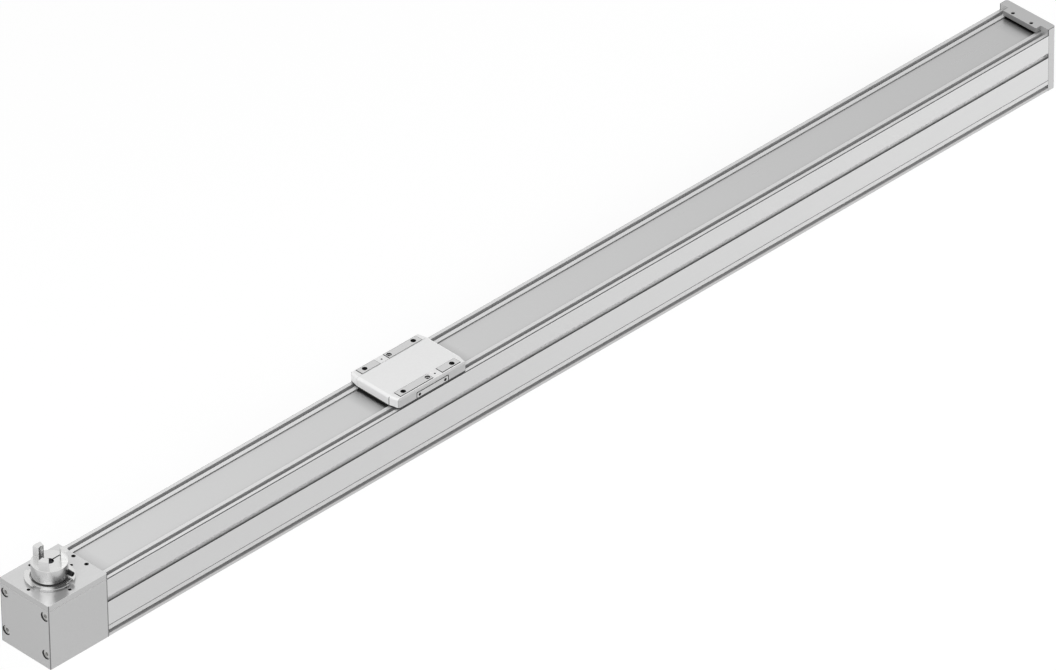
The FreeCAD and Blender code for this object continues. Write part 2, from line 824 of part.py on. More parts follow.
def tension_screws():
    shank = cap_t - tension_seat() + idler_block_gap + tension_screw_bite
    screw = cap_screw(tension_screw_r, shank, tension_screw_head_r, tension_screw_head)
    places = [V(x_far - tension_seat(), y, tension_screw_z) for y in (-tension_screw_y, tension_screw_y)]
    return group([pointed(screw, V(1, 0, 0), place) for place in places])


def idler_pulley():
    return toothed_pulley(idler_axle_r + running_gap).translated(V(x_idler, 0, 0))


def buffer(x0, x1):
    """Rubber stop over the rail, for the guide block to meet past the end of the travel."""
    low = rail_top + rail_end_gap
    body = box(x0, x1, -buffer_w / 2, buffer_w / 2, low, low + buffer_h)
    return chamfer_where(body, buffer_break, along_x)


def block_section(x, top):
    """Saddle over the rail, clear of it all round."""
    outer = block_w / 2
    inner = rail_w / 2 + block_run_gap
    low = floor_t + block_foot
    flank = [(inner, rail_top + block_run_gap), (inner, low), (outer, low), (outer, top)]
    return section_yz(flank + [(-y, z) for y, z in reversed(flank)], x)


def slide_screw_rods(radius, z0, z1):
    places = [(x_rest + sx * slide_screw_x, sy * slide_screw_y) for sx in (-1, 1) for sy in (-1, 1)]
    return [prism(radius, z0, z1, hidden_half_sides, x, y) for x, y in places]


def slide_screw_tip():
    return rail_top + block_run_gap + slide_screw_blind


def guide_block():
    body = block_section(x_rest - block_len / 2, neck_z).extrude(V(block_len, 0, 0))
    return body.cut(slide_screw_rods(slide_screw_r + screw_gap, slide_screw_tip() - screw_tip_gap, neck_z))


def block_end_cap(side):
    section = block_section(x_rest + side * block_len / 2, neck_z - block_cap_step)
    return section.extrude(V(side * block_cap_len, 0, 0))


def block_seal(side):
    section = block_section(x_rest + side * (block_half - block_seal_t), neck_z - 2 * block_cap_step)
    return section.extrude(V(side * block_seal_t, 0, 0))


def slide_plan():
    """Plan of the slide about its own middle: its ends slope back from the cover to the corners."""
    flank = [(slide_half, cover_half), (slide_side_half, half_w)]
    far = flank + [(-x, y) for x, y in reversed(flank)]
    return section_xy(far + [(x, -y) for x, y in reversed(far)], slide_z)


def slide_pads():
    """Raised pads; the far pair is the near pair turned half round."""
    low = slide_top - pad_rise
    long_pad = box(-pad_end_x, pad_long_x, -pad_out_y, -pad_in_y, low, pad_top)
    short_pad = box(pad_short_x, pad_end_x, -pad_out_y, -pad_in_y, low, pad_top)
    return [long_pad, short_pad, turned(long_pad, 180), turned(short_pad, 180)]


def slide_body():
    """Carriage: flanks with mounting pads, a bridge under the strip and a neck down to the guide."""
    shell = slide_plan().extrude(V(0, 0, slide_h))
    shell = fillet_where(shell, slide_corner_r, lambda edge: upright(edge, slide_side_half, half_w))
    shell = chamfer_where(shell, slide_break, lambda edge: level(edge, slide_top))
    floor_offset = -strip_gap - lifter_t
    shell = shell.translated(V(x_rest, 0, 0)).cut(above_strip(floor_offset, pad_top, 2 * pad_in_y))
    neck_x = neck_len / 2
    neck = box(-neck_x, neck_x, -neck_half, neck_half, neck_z, slide_top)
    windows = []
    for y0, y1 in ((-neck_half, -web_half), (web_half, neck_half)):
        windows.append(box(-neck_x, neck_x, y0, y1, pulley_low, pulley_high))
    neck = neck.cut(windows).translated(V(x_rest, 0, 0)).cut(above_strip(floor_offset, pad_top, 2 * pad_in_y))
    pads = [pad.translated(V(x_rest, 0, 0)) for pad in slide_pads()]
    return joined([shell, neck] + pads).cut(slide_cuts())


def slide_cuts():
    """Holes and pockets of the carriage."""
    seat = neck_z + slide_screw_seat
    cuts = slide_screw_rods(slide_screw_r + screw_gap, neck_z, seat)
    cuts += slide_screw_rods(slide_screw_head_r + rail_hole_gap, seat, pad_top)
    side_hole_len = side_screw_len + screw_tip_gap
    for sy in (-1, 1):
        y = sy * bolt_y
        for sx in (-1, 1):
            cuts.append(disc(bolt_r, slide_z, pad_top, x_rest + sx * bolt_x / 2, y))
            cuts.append(side_screw_rod(side_screw_r + screw_gap, sx, sy, 0, side_hole_len))
        cuts.append(prism(sleeve_core_r, slide_z, pad_top, hidden_half_sides, x_rest, y))
        cuts.append(disc(sleeve_r, pad_top - sleeve_d, pad_top, x_rest, y))
        cuts.append(lube_block(sy, 0, pad_top))
        cuts.append(side_plate_block(sy, side_plate_gap))
    finish = -neck_half + clamp_screw_bite + screw_tip_gap
    for sx, z in clamp_screw_places():
        x = x_rest + sx * clamp_screw_x
        cuts.append(prism_y(clamp_screw_r + screw_gap, -neck_half, finish, x, z, hidden_half_sides))
    return cuts


def lube_block(side, gap, top):
    half = lube_plug / 2 - gap
    x = x_rest - side * lube_x
    y = side * bolt_y
    return box(x - half, x + half, y - half, y + half, slide_top - lube_plug_t, top)


def lubrication_plugs():
    """Flush plugs between the pads, each with a grease hole."""
    low = slide_top - lube_plug_t
    plugs = []
    for side in (-1, 1):
        hole = prism(lube_hole_r, low, slide_top, hidden_half_sides, x_rest - side * lube_x, side * bolt_y)
        plugs.append(lube_block(side, screw_gap, slide_top).cut(hole))
    return group(plugs)


def side_plate_block(side, gap):
    """Plate in the slide's flank, or with a gap the pocket that takes it."""
    half = side_plate_len / 2 + gap
    top = slide_z + side_plate_h + gap
    y0, y1 = sorted((side * half_w, side * (half_w - side_plate_t)))
    body = box(-half, half, y0, y1, slide_z, top)
    body = chamfer_where(body, side_plate_break, lambda edge: along_y(edge) and level(edge, top))
    return body.translated(V(x_rest, 0, 0))


def side_screw_rod(radius, sx, side, depth0, depth1):
    y0, y1 = sorted((side * (half_w - depth0), side * (half_w - depth1)))
    x = x_rest + sx * (side_plate_len / 2 - side_screw_inset)
    return prism_y(radius, y0, y1, x, slide_z + side_screw_z, hidden_half_sides)


def side_plate(side):
    cuts = []
    for sx in (-1, 1):
        cuts.append(side_screw_rod(side_screw_r + screw_gap, sx, side, 0, side_plate_t))
        cuts.append(side_screw_rod(side_screw_head_r + screw_gap, sx, side, 0, side_screw_head))
    return side_plate_block(side, 0).cut(cuts)


def side_plate_screws():
    screws = []
    for side in (-1, 1):
        for sx in (-1, 1):
            head = side_screw_rod(side_screw_head_r, sx, side, side_screw_sink, side_screw_head)
            shank = side_screw_rod(side_screw_r, sx, side, side_screw_head, side_screw_len)
            screws.append(joined([head, shank]))
    return group(screws)


def slide_cover():
    """Middle cover of the slide, arched inside over the strip."""
    body = box(-slide_half, slide_half, -cover_half, cover_half, slide_z, slide_top)
    body = fillet_where(body, cover_round, lambda edge: level(edge, slide_top) and along_y(edge))
    body = body.translated(V(x_rest, 0, 0)).common(above_strip(strip_t + strip_gap, pad_top, 2 * cover_half))
    return body.cut([wiper_block(side, 0) for side in (-1, 1)])


def wiper_block(side, gap):
    """Wiper in one end of the cover, or with no gap its pocket; it reaches down to the strip."""
    out = slide_half - wiper_setback
    x0, x1 = sorted((x_rest + side * out, x_rest + side * (out - wiper_t)))
    half = strip_w / 2 - gap
    return box(x0, x1, -half, half, strip_z + strip_t + wiper_gap, slide_z + wiper_h)


def strip_lifter():
    """Curved pad that carries the strip over the bridge."""
    body = above_strip(-strip_gap - lifter_t, pad_top, strip_w).cut(above_strip(-strip_gap, pad_top, strip_w))
    half = lifter_len / 2
    return body.common(box(x_rest - half, x_rest + half, -strip_w / 2, strip_w / 2, slide_z, pad_top))


def slide_screws():
    seat = neck_z + slide_screw_seat
    shank = seat - slide_screw_tip()
    screw = plain_screw(slide_screw_r, shank, slide_screw_head_r, slide_screw_head, hidden_half_sides)
    places = [V(x_rest + sx * slide_screw_x, sy * slide_screw_y, seat) for sx in (-1, 1) for sy in (-1, 1)]
    return group([screw.translated(place) for place in places])


def clamp_screw_places():
    heights = (neck_z + clamp_edge, clamp_high - clamp_edge)
    return [(sx, z) for sx in (-1, 1) for z in heights]


def belt_clamp():
    """Plate that presses both belt ends against the neck."""
    start = x_rest - clamp_plate_len / 2
    finish = x_rest + clamp_plate_len / 2
    outer = -neck_half - clamp_plate_t
    plate = box(start, finish, outer, -neck_half, clamp_low, clamp_high)
    press_low = pulley_low + clamp_side_gap
    press_high = pulley_high - clamp_side_gap
    press = box(start, finish, -neck_half, -belt_out_y, press_low, press_high)
    head_hole_r = clamp_screw_head_r + screw_gap
    cuts = []
    for sx, z in clamp_screw_places():
        x = x_rest + sx * clamp_screw_x
        cuts.append(prism_y(clamp_screw_r + screw_gap, outer, -neck_half, x, z, hidden_half_sides))
        cuts.append(prism_y(head_hole_r, outer, outer + clamp_screw_head, x, z, hidden_half_sides))
    return joined([plate, press]).cut(cuts)


def belt_clamp_screws():
    shank = clamp_plate_t - clamp_screw_head + clamp_screw_bite
    screw = plain_screw(clamp_screw_r, shank, clamp_screw_head_r, clamp_screw_head, hidden_half_sides)
    seat = -neck_half - clamp_plate_t + clamp_screw_head
    places = [V(x_rest + sx * clamp_screw_x, seat, z) for sx, z in clamp_screw_places()]
    return group([pointed(screw, V(0, -1, 0), place) for place in places])


def position_magnet():
    finish = neck_half + magnet_holder_t
    z = clamp_low + magnet_holder_h / 2
    return prism_y(magnet_r, finish - magnet_len, finish, x_rest, z, hidden_half_sides)


def magnet_holder():
    """Holder beside the neck that keeps the position magnet at the sensor slot's height."""
    half = magnet_holder_len / 2
    finish = neck_half + magnet_holder_t
    body = box(x_rest - half, x_rest + half, neck_half, finish, clamp_low, clamp_low + magnet_holder_h)
    return body.cut(position_magnet())


nodes = {
    "axis_profile": axis_profile,
    "guide_rail": guide_rail,
    "rail_screws": rail_screws,
    "cover_strip": cover_strip,
    "drive_housing": drive_housing,
    "flange_plate": flange_plate,
    "centring_collar": centring_collar,
    "lower_bearing": lambda: shaft_bearing(bearing_low_z),
    "upper_bearing": lambda: shaft_bearing(bearing_high_z),
    "housing_screws": lambda: end_screws(x_end, -1, head_len),
    "strip_clamp_drive": strip_clamp_drive,
    "strip_screws_drive": strip_screws_drive,
    "end_cap": end_cap,
    "end_cap_screws": lambda: end_screws(x_far, 1, cap_t),
    "strip_clamp_end": strip_clamp_end,
    "strip_screws_end": strip_screws_end,
    "idler_block": idler_block,
    "idler_axle": idler_axle,
    "tension_screws": tension_screws,
    "toothed_belt": toothed_belt,
    "buffer_drive": lambda: buffer(x_joint, x_first - block_half - stop_gap),
    "buffer_end": lambda: buffer(x_last + block_half + stop_gap, x_idler_face),
    "drive_shaft": drive_shaft,
    "drive_pulley": drive_pulley,
    "coupling_hub": coupling_hub,
    "hub_clamp_screw": hub_clamp_screw,
    "idler_pulley": idler_pulley,
    "slide_body": slide_body,
    "slide_cover": slide_cover,
    "strip_lifter": strip_lifter,
    "strip_wiper_front": lambda: wiper_block(-1, wiper_side_gap),
    "strip_wiper_rear": lambda: wiper_block(1, wiper_side_gap),
    "guide_block": guide_block,
    "block_end_cap_front": lambda: block_end_cap(-1),
    "block_end_cap_rear": lambda: block_end_cap(1),
    "block_seal_front": lambda: block_seal(-1),
    "block_seal_rear": lambda: block_seal(1),
    "slide_screws": slide_screws,
    "belt_clamp": belt_clamp,
    "belt_clamp_screws": belt_clamp_screws,
    "magnet_holder": magnet_holder,
    "position_magnet": position_magnet,
    "side_plate_near": lambda: side_plate(-1),
    "side_plate_far": lambda: side_plate(1),
    "side_plate_screws": side_plate_screws,
    "lubrication_plugs": lubrication_plugs,
}

os.makedirs("parts", exist_ok=True)
for name, make in nodes.items():
    make().exportStep("parts/" + name + ".step")
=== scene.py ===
import json
import math

import bpy
from mathutils import Matrix, Vector

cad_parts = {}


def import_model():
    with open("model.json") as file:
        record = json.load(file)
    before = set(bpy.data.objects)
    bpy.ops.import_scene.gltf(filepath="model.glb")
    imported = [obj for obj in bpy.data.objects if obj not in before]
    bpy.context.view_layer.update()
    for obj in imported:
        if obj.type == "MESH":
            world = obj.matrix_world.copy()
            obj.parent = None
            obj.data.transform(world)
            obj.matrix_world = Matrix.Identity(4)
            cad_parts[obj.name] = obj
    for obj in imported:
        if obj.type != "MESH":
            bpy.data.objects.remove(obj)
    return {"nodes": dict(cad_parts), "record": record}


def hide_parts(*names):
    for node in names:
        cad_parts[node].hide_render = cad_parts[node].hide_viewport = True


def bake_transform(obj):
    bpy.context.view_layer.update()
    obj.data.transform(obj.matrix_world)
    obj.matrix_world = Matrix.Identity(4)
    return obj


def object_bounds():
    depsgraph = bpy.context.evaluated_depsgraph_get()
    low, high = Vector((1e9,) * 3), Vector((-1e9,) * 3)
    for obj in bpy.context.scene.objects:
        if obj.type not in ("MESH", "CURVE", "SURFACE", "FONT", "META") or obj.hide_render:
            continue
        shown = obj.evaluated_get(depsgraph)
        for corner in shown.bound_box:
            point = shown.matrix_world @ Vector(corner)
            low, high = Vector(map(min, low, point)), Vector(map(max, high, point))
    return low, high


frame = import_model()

nodes = frame["nodes"]
scene = bpy.context.scene
cad_low, cad_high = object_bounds()

# Places along the axis in the row frame, in metres
X_END = -0.610
X_JOINT = -0.543
X_REST = -0.1615
X_CAP = 0.601
MM = 0.001


# Shader nodes

# most of a noise texture lies between these two
NOISE_LOW = 0.3
NOISE_HIGH = 0.7
BUMP_STRENGTH = 0.6


def grey(level):
    return (level, level, level)


def new_material(name):
    material = bpy.data.materials.new(name)
    material.use_nodes = True
    tree = material.node_tree
    return material, tree, tree.nodes["Principled BSDF"]


def link(tree, source, target):
    tree.links.new(source, target)


def maths(tree, operation, first, second=None):
    """A maths node; first is a socket, second a socket or a number."""
    node = tree.nodes.new("ShaderNodeMath")
    node.operation = operation
    link(tree, first, node.inputs[0])
    if isinstance(second, float):
        node.inputs[1].default_value = second
    elif second is not None:
        link(tree, second, node.inputs[1])
    return node.outputs[0]


def mapped(tree, value, low, high, to_low=0.0, to_high=1.0):
    """Maps low and high to to_low and to_high, and holds the value beyond them."""
    node = tree.nodes.new("ShaderNodeMapRange")
    ends = {"From Min": low, "From Max": high, "To Min": to_low, "To Max": to_high}
    for socket, number in ends.items():
        node.inputs[socket].default_value = number
    link(tree, value, node.inputs["Value"])
    return node.outputs["Result"]


def spread(tree, noise, low, high):
    """Maps noise to a range of numbers."""
    return mapped(tree, noise, NOISE_LOW, NOISE_HIGH, low, high)


def along(tree, place, low, high):
    """0 to 1 between two places in mm."""
    return mapped(tree, place, low * MM, high * MM)


def object_noise(tree, scale, size, detail, roughness):
    """Noise in the row frame, stretched by a scale for each axis."""
    place = tree.nodes.new("ShaderNodeTexCoord")
    stretch = tree.nodes.new("ShaderNodeMapping")
    stretch.inputs["Scale"].default_value = scale
    noise = tree.nodes.new("ShaderNodeTexNoise")
    noise.inputs["Scale"].default_value = size
    noise.inputs["Detail"].default_value = detail
    noise.inputs["Roughness"].default_value = roughness
    link(tree, place.outputs["Object"], stretch.inputs["Vector"])
    link(tree, stretch.outputs["Vector"], noise.inputs["Vector"])
    return noise.outputs["Fac"]


def mixed(tree, factor, first, second):
    """Mix of two colours; each is a socket or three numbers."""
    node = tree.nodes.new("ShaderNodeMix")
    node.data_type = "RGBA"
    for socket, colour in (("A", first), ("B", second)):
        if isinstance(colour, tuple):
            node.inputs[socket].default_value = colour + (1.0,)
        else:
            link(tree, colour, node.inputs[socket])
    link(tree, factor, node.inputs["Factor"])
    return node.outputs["Result"]


def tinted(tree, noise, colour, change):
    """Colour that gets a little darker and lighter with the noise."""
    dark = tuple(c * (1 - change) for c in colour)
    light = tuple(min(1.0, c * (1 + change)) for c in colour)
    return mixed(tree, spread(tree, noise, 0.0, 1.0), dark, light)


def uneven(tree, shader, noise, rough, change):
    """Roughness that gets a little lower and higher with the noise."""
    value = spread(tree, noise, rough * (1 - change), rough * (1 + change))
    link(tree, value, shader.inputs["Roughness"])


def bump(tree, shader, noise, height):
    """Surface that rises with the noise, by a height in metres."""
    node = tree.nodes.new("ShaderNodeBump")
    node.inputs["Strength"].default_value = BUMP_STRENGTH
    node.inputs["Distance"].default_value = height
    link(tree, noise, node.inputs["Height"])
    link(tree, node.outputs["Normal"], shader.inputs["Normal"])


# Painted shade and light, and a few own tones, by the place on the part

def row_places(tree):
    """Sockets by the name of a place: x, y and z in the row frame, side as |y|,
    run as the distance along x from the slide's middle at rest, and reach as |run|."""
    place = tree.nodes.new("ShaderNodeTexCoord")
    split = tree.nodes.new("ShaderNodeSeparateXYZ")
    link(tree, place.outputs["Object"], split.inputs[0])
    run = maths(tree, "SUBTRACT", split.outputs["X"], X_REST)
    return {
        "x": split.outputs["X"],
        "y": split.outputs["Y"],
        "z": split.outputs["Z"],
        "side": maths(tree, "ABSOLUTE", split.outputs["Y"]),
        "run": run,
        "reach": maths(tree, "ABSOLUTE", run),
    }


def region(tree, places, box):
    """1 inside a box, given in mm as (low, high) by the name of the place."""
    inside = None
    for name, (low, high) in box.items():
        node = tree.nodes.new("ShaderNodeMath")
        node.operation = "COMPARE"
        link(tree, places[name], node.inputs[0])
        node.inputs[1].default_value = (low + high) / 2 * MM
        node.inputs[2].default_value = (high - low) / 2 * MM
        this = node.outputs[0]
        inside = this if inside is None else maths(tree, "MULTIPLY", inside, this)
    return inside


def marked(tree, colour, marks):
    """Colour with other tones inside boxes.

    A mark is (tone, boxes) or (tone, boxes, fade).
    A fade is (place, (start, end), tone at the end)."""
    places = row_places(tree)
    for tone, boxes, *fades in marks:
        inside = None
        for box in boxes:
            this = region(tree, places, box)
            inside = this if inside is None else maths(tree, "MAXIMUM", inside, this)
        for place, (start, end), end_tone in fades:
            tone = mixed(tree, along(tree, places[place], start, end), tone, end_tone)
        colour = mixed(tree, inside, colour, tone)
    return colour


def contact_shade(tree, colour, reach, share):
    """Colour with painted shade within reach of a piece that stands over the surface."""
    sky = tree.nodes.new("ShaderNodeAmbientOcclusion")
    sky.samples = 16
    sky.inputs["Distance"].default_value = reach * MM
    shade = maths(tree, "MULTIPLY", maths(tree, "SUBTRACT", sky.outputs["AO"], 1.0), -share)
    return mixed(tree, shade, colour, SHADE)


# Materials

EVEN = (1, 1, 1)


def metal(name, colour, rough, size, change, metallic, grain=EVEN, height=2e-5, marks=(),
          drift=None, contact=None, gloss=0.5):
    """Metal with a directed grain in its colour, its roughness and its surface, and places painted
    with shade and light.

    size and grain are the noise's scale, change is its share in the colour and height its depth.
    drift is (place, (low, high), colour at the high end) for a colour that changes along the piece.
    contact is (reach, share) for a shade beside a piece that stands over the surface."""
    material, tree, shader = new_material(name)
    fine = object_noise(tree, grain, size, detail=6.0, roughness=0.65)
    shader.inputs["Metallic"].default_value = metallic
    shader.inputs["Specular IOR Level"].default_value = gloss
    tint = tinted(tree, fine, colour, change)
    if drift:
        place, (low, high), end_colour = drift
        end_tint = tinted(tree, fine, end_colour, change)
        tint = mixed(tree, along(tree, row_places(tree)[place], low, high), tint, end_tint)
    if contact:
        tint = contact_shade(tree, tint, *contact)
    link(tree, marked(tree, tint, marks) if marks else tint, shader.inputs["Base Color"])
    uneven(tree, shader, fine, rough, change=0.15)
    bump(tree, shader, fine, height)
    return material


def matt(name, colour, rough):
    """Rubber or plastic with a fine even texture."""
    material, tree, shader = new_material(name)
    fine = object_noise(tree, EVEN, size=900.0, detail=3.0, roughness=0.6)
    link(tree, tinted(tree, fine, colour, change=0.2), shader.inputs["Base Color"])
    uneven(tree, shader, fine, rough, change=0.1)
    bump(tree, shader, fine, height=4e-5)
    return material


# Painted shade and light: the insides of grooves and holes, edges and seams are painted darker than
# the open faces as shade, and the rims of turned pieces are painted lighter as a highlight
SHADE = (0.03, 0.03, 0.031)
EDGE = (0.16, 0.16, 0.162)
SLOT = (0.17, 0.17, 0.172)
GROOVE = (0.49, 0.49, 0.492)
RIM = (0.73, 0.73, 0.725)

# Places on the part, in mm; a pair is a stretch, low and high
SKIN = 0.04  # a box keeps this far from a face that it leaves out
FILM = 0.2  # a layer this deep holds one face alone
LINE = 0.45  # drawn edges and seams
OUTSIDE = 1.0  # a box ends this far outside the part
HEAD_X = X_END / MM
JOINT_X = X_JOINT / MM
CAP_X = X_CAP / MM
SPAN_X = (JOINT_X, CAP_X)
FACE_Y = 30.0
# profile
PROFILE_TOP = 60.0
TOP_EDGE_Y = (FACE_Y - 0.55, FACE_Y + 0.2)
TOP_EDGE_Z = (PROFILE_TOP - 0.55, PROFILE_TOP + 0.1)
TOP_GROOVE_Y = (22.2, 26.5)
TOP_GROOVE_Z = (50.0, PROFILE_TOP - 0.2)
LEDGE_GAP_Y = (18.4, 18.9)
LEDGE_GAP_Z = (57.0, PROFILE_TOP - 0.1)
SENSOR_SLOT_Y = (25.0, FACE_Y - 0.1)
SENSOR_SLOT_Z = (35.0, 41.2)
SENSOR_SLOT_FADE = (29.0, 26.4)  # from the mouth inwards
MARK_LINE_Y = (FACE_Y - 1.0, FACE_Y - 0.05)
MARK_LINE_Z = (11.0, 12.0)
LOW_GROOVE_Y = (20.0, FACE_Y - 0.2)
LOW_GROOVE_Z = (3.6, 7.4)
FOOT_Z = (-1.0, 3.3)
# head
PLATE_TOP = 66.0
HEAD_SCREW_X = (HEAD_X + 0.1, HEAD_X + 6.3)
HEAD_SCREW_Y = 24.5
HEAD_SCREW_Z = (13.3, 52.8)
HEAD_SCREW_R = 4.7
DRIVE_X = -580.5
MOTOR_HOLE = 24.5
MOTOR_HOLE_R = 1.6
STRIP_SCREW_X = JOINT_X - 3
STRIP_SCREW_Y = 8.1
STRIP_SCREW_R = 2.0
# hub and collar
COLLAR_TOP = 68.7
HUB_Z = 69.3
HUB_TOP = 83.0
JAW_TOP = 93.0
RIM_TOPS = (COLLAR_TOP, HUB_TOP, JAW_TOP)
RIM_HALF = 0.25
HUB_GAP_Z = (HUB_Z - 0.2, HUB_Z + 0.7)
HUB_BORE_R = 4.1
HUB_SLIT_X = (DRIVE_X, DRIVE_X + 15.5)
HUB_SLIT_Y = (0.0, 0.7)
HUB_DRIFT_Z = (68.0, 92.0)
# end cap
NOSE_X = 595.0
NOSE_Y = 20.0
NOSE_Z = 60.6
NOSE_FACE_Z = (60.0, PLATE_TOP - 0.3)
NOSE_FOOT_Y = (0.0, NOSE_Y + 0.4)
NOSE_FOOT_Z = (59.0, NOSE_Z + 0.3)
# slide
SLIDE_Z = 61.0
SLIDE_TOP = 71.1
SLIDE_GAP_Z = (SLIDE_Z - 0.1, SLIDE_Z + 2.4 * LINE)
SLOPE_REACH = (38.5, 43.0)
SLOPE_Z = (SLIDE_Z, SLIDE_TOP - 0.03)
FLANK_REACH = (0.0, 40.5)
FLANK_DEPTH = 1.4
FLANK_Z = (SLIDE_Z, SLIDE_TOP - 0.2)
COVER_JOINT_REACH = (41.0, 43.0)
COVER_JOINT_Y = (-20.3, -19.55)
COVER_JOINT_Z = (SLIDE_Z, SLIDE_TOP - 1.0)
PAD_TOP = 71.5
PAD_LINE = 0.55
PADS = (((-35.5, 3.0), (-27.3, -19.7)), ((14.4, 35.5), (-27.3, -19.7)),
        ((-3.0, 35.5), (19.7, 27.3)), ((-35.5, -14.4), (19.7, 27.3)))
BORE_Y = 23.75
BORE_LOW = 50.0
BOLT_X = 29.0
BOLT_R = 2.6
SLEEVE_R = 2.6
SLEEVE_FLOOR = 69.8
SLEEVE_LOW = SLEEVE_FLOOR + 0.15
SLEEVE_BORE_R = 1.7
LUBE_X = 8.7
LUBE_R = 1.1
SIDE_PLATE_X = 18.7
SIDE_PLATE_DEPTH = 0.5
SIDE_PLATE_TOP = 67.6
SIDE_PLATE_Z = (SLIDE_Z, SIDE_PLATE_TOP)
SIDE_PLATE_EDGE_Z = (60.0, SIDE_PLATE_TOP)
SIDE_PLATE_POCKET = {"reach": (0.0, 19.2), "side": (27.5, FACE_Y - 0.05), "z": (60.0, 68.0)}


def round_a(centre, half):
    return (centre - half, centre + half)


def layer(face, depth):
    """A face and what lies at most a depth under it."""
    return (face - depth, face + OUTSIDE)


def head_end(depth):
    """The head's end face and what lies at most a depth behind it."""
    return (HEAD_X - OUTSIDE, HEAD_X + depth)


def below(top):
    """Everything under a face, but not the face itself."""
    return (-1.0, top - SKIN)


def hole(x, side, radius, top):
    """Inside of a hole from above in the head or the hub."""
    return {"x": round_a(x, radius), "side": round_a(side, radius), "z": below(top)}


def bore(reach, radius, low, high):
    """Inside of a hole from above in the slide, on both sides."""
    return {"reach": round_a(reach, radius), "side": round_a(BORE_Y, radius), "z": (low, high)}


profile_painted_shading = (
    # lands on the top, with a painted highlight that is strongest at the head's end and fades
    # towards the end cap
    (grey(0.77), ({"z": layer(PROFILE_TOP, 0.05)},), ("x", SPAN_X, grey(0.66))),
    # painted shade in the top grooves, in the gap beside the ledge, in the mark line and in the low
    # groove
    (GROOVE, (
        {"side": TOP_GROOVE_Y, "z": TOP_GROOVE_Z},
        {"side": LEDGE_GAP_Y, "z": LEDGE_GAP_Z},
    )),
    (SLOT, (
        {"side": MARK_LINE_Y, "z": MARK_LINE_Z},
        {"side": LOW_GROOVE_Y, "z": LOW_GROOVE_Z},
    )),
    # sensor slot, with painted shade that is darkest at its mouth and fades to a painted lighter
    # tone inside
    (grey(0.08), ({"side": SENSOR_SLOT_Y, "z": SENSOR_SLOT_Z},),
     ("side", SENSOR_SLOT_FADE, grey(0.92))),
    # foot under the low groove, painted a little darker as shade, and the broken upper edge,
    # painted as a line of shade
    (grey(0.59), ({"side": layer(FACE_Y, FILM), "z": FOOT_Z},)),
    (SHADE, ({"side": TOP_EDGE_Y, "z": TOP_EDGE_Z},)),
)
# painted shade along the joint between the head and the profile, and on the head's upright corners
head_edge_shade = (EDGE, (
    {"x": layer(JOINT_X, 2 * LINE), "side": layer(FACE_Y, 0.1)},
    {"x": head_end(1.5 * LINE), "side": layer(FACE_Y, 1.5 * LINE)},
))
head_painted_shade = (
    # end face, painted a little darker as shade
    (grey(0.52), ({"x": head_end(FILM)},)),
    head_edge_shade,
    # painted shade in the counterbores of the end screws
    (SHADE, tuple({
        "x": HEAD_SCREW_X,
        "side": round_a(HEAD_SCREW_Y, HEAD_SCREW_R),
        "z": round_a(z, HEAD_SCREW_R),
    } for z in HEAD_SCREW_Z)),
)
plate_painted_shade = (
    # end face and side faces, painted darker than the top as shade
    (grey(0.47), ({"x": head_end(FILM), "z": below(PLATE_TOP - FILM)},)),
    (grey(0.51), ({"side": layer(FACE_Y, FILM), "z": below(PLATE_TOP - FILM)},)),
    head_edge_shade,
    # painted shade in the motor holes and in the strip screws' holes
    (SHADE, (
        hole(DRIVE_X - MOTOR_HOLE, 0.0, MOTOR_HOLE_R, PLATE_TOP),
        hole(DRIVE_X + MOTOR_HOLE, 0.0, MOTOR_HOLE_R, PLATE_TOP),
        hole(DRIVE_X, MOTOR_HOLE, MOTOR_HOLE_R, PLATE_TOP),
        hole(STRIP_SCREW_X, STRIP_SCREW_Y, STRIP_SCREW_R, PLATE_TOP),
    )),
)
cap_painted_shade = (
    # top face, painted darker as shade
    (grey(0.50), ({"z": layer(PLATE_TOP, LINE)},)),
    # front and flanks of the nose, painted dark as shade
    (grey(0.32), (
        {"x": round_a(NOSE_X, 0.25), "z": NOSE_FACE_Z},
        {"x": (NOSE_X - OUTSIDE, CAP_X - 0.1), "side": round_a(NOSE_Y, FILM), "z": NOSE_FACE_Z},
    )),
    # painted shade along the joint with the profile and along the long upper edges
    (EDGE, (
        {"x": round_a(CAP_X, 0.3), "side": layer(FACE_Y, 1.0), "z": below(PLATE_TOP)},
        {"side": layer(FACE_Y, LINE), "z": layer(PLATE_TOP, LINE)},
    )),
    # painted shade under the nose
    (SHADE, ({"x": (NOSE_X - OUTSIDE, CAP_X), "side": NOSE_FOOT_Y, "z": NOSE_FOOT_Z},)),
)
